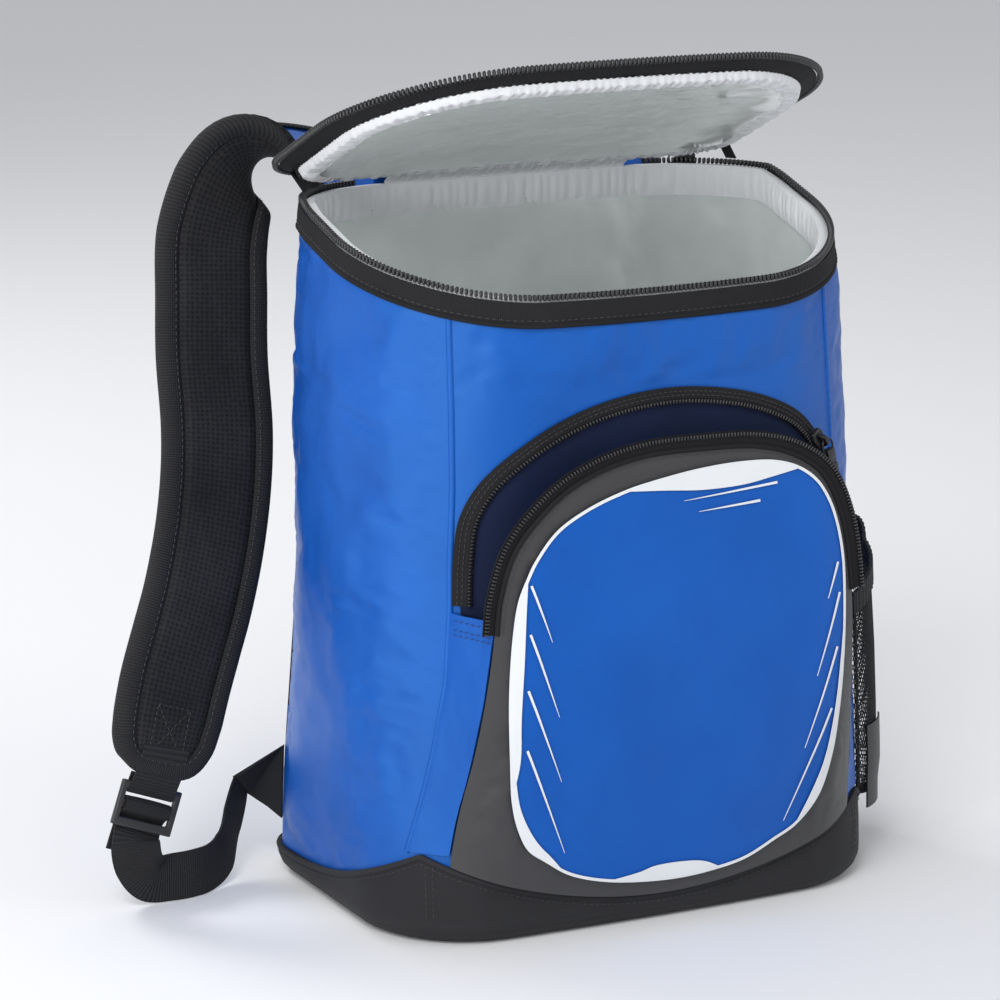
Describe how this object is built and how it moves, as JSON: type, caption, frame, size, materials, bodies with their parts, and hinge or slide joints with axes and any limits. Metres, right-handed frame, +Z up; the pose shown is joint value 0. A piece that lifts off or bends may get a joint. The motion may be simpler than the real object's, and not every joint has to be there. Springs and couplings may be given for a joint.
{
  "type": "cooler backpack",
  "caption": "Soft blue cooler backpack with its silver-lined lid propped open, front pocket unzipped, a net side pocket and one shoulder strap thrown out to the side.",
  "frame": {"origin": "middle of the foot, on the floor", "axes": "+Z up, the front pocket faces -Y, the shoulder straps are on +Y, +X is the side with the net pocket"},
  "size_m": [0.4084, 0.2644, 0.4267],
  "materials": {
    "blue_cloth": "satin",
    "dark_cloth": "matte",
    "charcoal_satin": "satin",
    "grey_lining": "matte",
    "silver_film": "glossy",
    "black_webbing": "matte",
    "black_mesh": "matte",
    "white_print": "satin",
    "black_plastic": "satin",
    "slider_metal": "satin"
  },
  "bodies": {
    "root": {"bag_shell": "blue_cloth", "hinge_cloth": "blue_cloth", "lid_panel": "blue_cloth", "pocket_gusset_left": "blue_cloth", "pocket_gusset_right": "blue_cloth", "pocket_panel": "blue_cloth", "strap_cover_left": "blue_cloth", "strap_cover_right": "blue_cloth", "base_cup": "dark_cloth", "pocket_front": "charcoal_satin", "hinge_lining": "grey_lining", "lid_border": "grey_lining", "mouth_border": "grey_lining", "lid_liner": "silver_film", "liner": "silver_film", "back_seam_left": "black_webbing", "back_seam_right": "black_webbing", "lid_zip_tape": "black_webbing", "mesh_pocket_band": "black_webbing", "mouth_zip_tape": "black_webbing", "pocket_zip_tape_inner": "black_webbing", "pocket_zip_tape_outer": "black_webbing", "side_tag": "black_webbing", "strap_anchor_left": "black_webbing", "strap_anchor_right": "black_webbing", "strap_binding_left": "black_webbing", "strap_binding_right": "black_webbing", "strap_tab_left": "black_webbing", "strap_tab_right": "black_webbing", "strap_webbing_left": "black_webbing", "strap_webbing_right": "black_webbing", "zip_end_left": "black_webbing", "zip_end_right": "black_webbing", "side_mesh_pocket": "black_mesh", "strap_pad_left": "black_mesh", "strap_pad_right": "black_mesh", "pocket_trim": "white_print", "lid_zip_teeth": "black_plastic", "mouth_puller": "black_plastic", "mouth_zip_teeth": "black_plastic", "pocket_puller": "black_plastic", "pocket_zip_teeth_inner": "black_plastic", "pocket_zip_teeth_outer": "black_plastic", "strap_buckle_left": "black_plastic", "strap_buckle_right": "black_plastic", "mouth_pull_ring": "slider_metal", "mouth_slider": "slider_metal", "mouth_slider_bridge": "slider_metal", "pocket_pull_ring": "slider_metal", "pocket_slider": "slider_metal", "pocket_slider_bridge": "slider_metal"}
  },
  "joints": []
}
